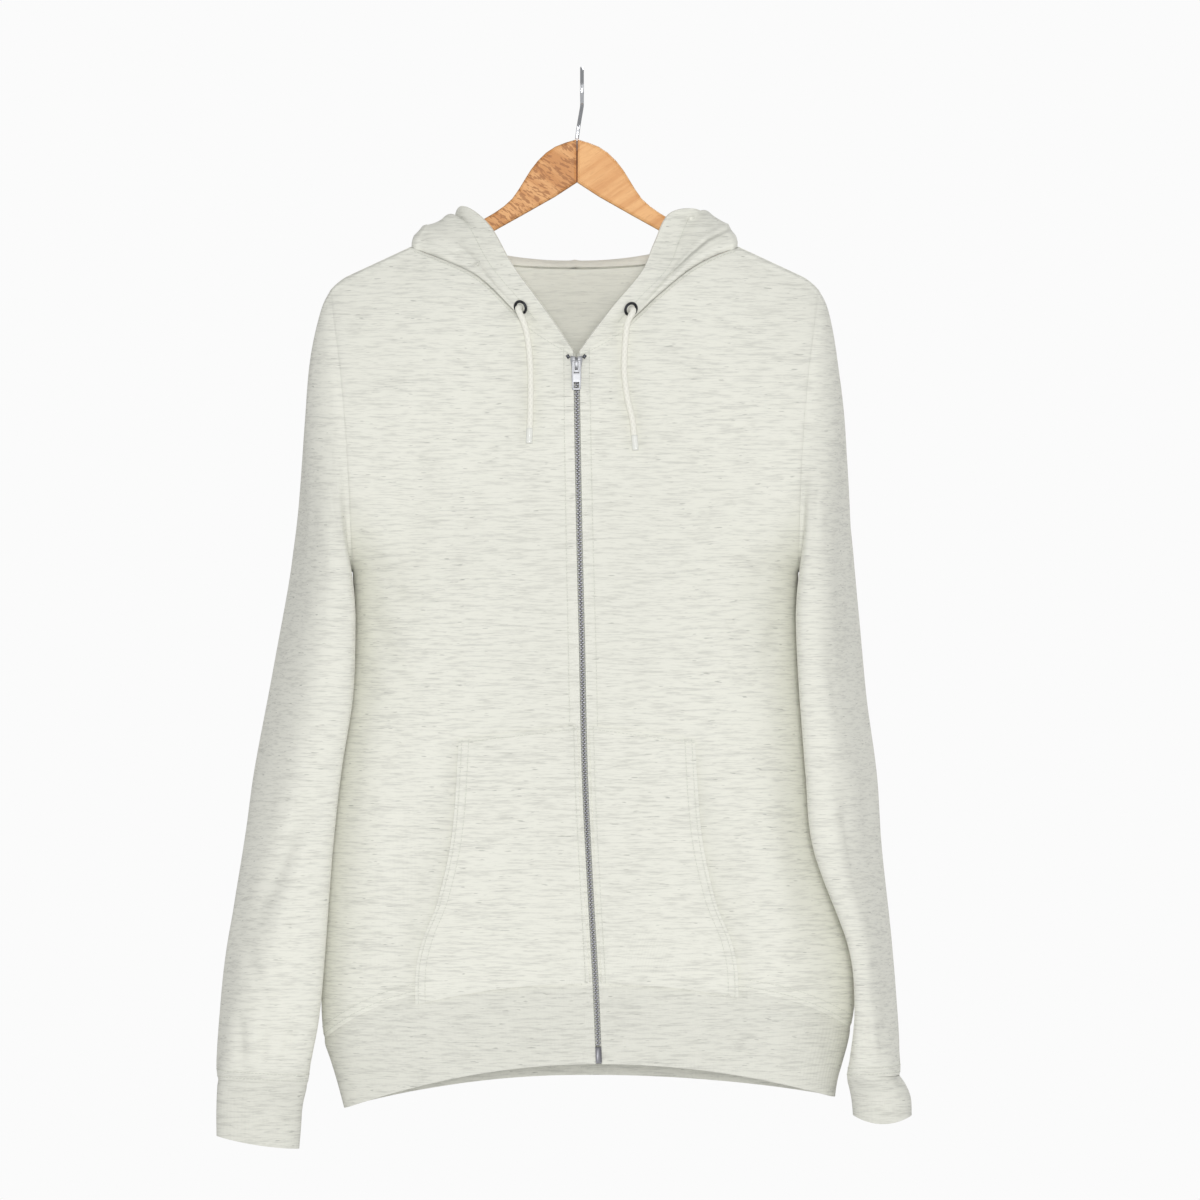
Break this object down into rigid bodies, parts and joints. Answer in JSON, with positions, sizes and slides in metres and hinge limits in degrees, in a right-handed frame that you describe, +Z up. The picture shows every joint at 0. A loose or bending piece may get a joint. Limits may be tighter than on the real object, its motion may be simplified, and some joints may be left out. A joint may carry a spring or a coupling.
{
  "type": "zip up hoodie on a wooden hanger",
  "caption": "Long-sleeved zip up hoodie with a kangaroo pocket and drawcord hood, hanging on a wooden hanger by its wire hook.",
  "frame": {"origin": "inner crown of the hanger's hook, where the rail bears", "axes": "+Z up, the hoodie's front faces -Y, +X to the right as one looks at the front"},
  "size_m": [0.5973, 0.1815, 0.9302],
  "materials": {
    "fleece": "oatmeal heather sweatshirt fleece",
    "band": "oatmeal heather doubled band",
    "zip_metal": "bright zip metal",
    "dark_metal": "gunmetal plate",
    "cord": "braided cream cotton",
    "cord_tip": "pale film wound on the cord's end",
    "wood_dark": "varnished, darker figured half",
    "wood_light": "varnished, plain lighter half",
    "hook_wire": "polished wire"
  },
  "bodies": {
    "garment": {"front_left": "fleece", "front_right": "fleece", "back": "fleece", "waistband": "band", "sleeve_upper_left": "fleece", "sleeve_elbow_left": "fleece", "sleeve_lower_left": "fleece", "cuff_left": "band", "sleeve_upper_right": "fleece", "sleeve_lower_right": "fleece", "cuff_right": "band", "hood_left": "fleece", "hood_right": "fleece", "pocket_left": "fleece", "pocket_right": "fleece", "zip_chain": "zip_metal", "zip_box": "zip_metal", "zip_slider": "zip_metal", "zip_stop_left": "dark_metal", "zip_stop_right": "dark_metal", "eyelet_left": "dark_metal", "eyelet_right": "dark_metal", "cord_left": "cord", "cord_right": "cord", "cord_tip_left": "cord_tip", "cord_tip_right": "cord_tip", "hanger_left": "wood_dark", "hanger_right": "wood_light", "hanger_hook": "hook_wire"},
    "pull_tab": {"zip_pull": "zip_metal"}
  },
  "joints": [
    {"name": "pull_tab_hinge", "type": "hinge", "parent": "garment", "child": "pull_tab", "pos_m": [-0.00467, -0.06244, -0.2515], "axis": [1, 0, 0], "range_deg": [-160, 0]}
  ]
}
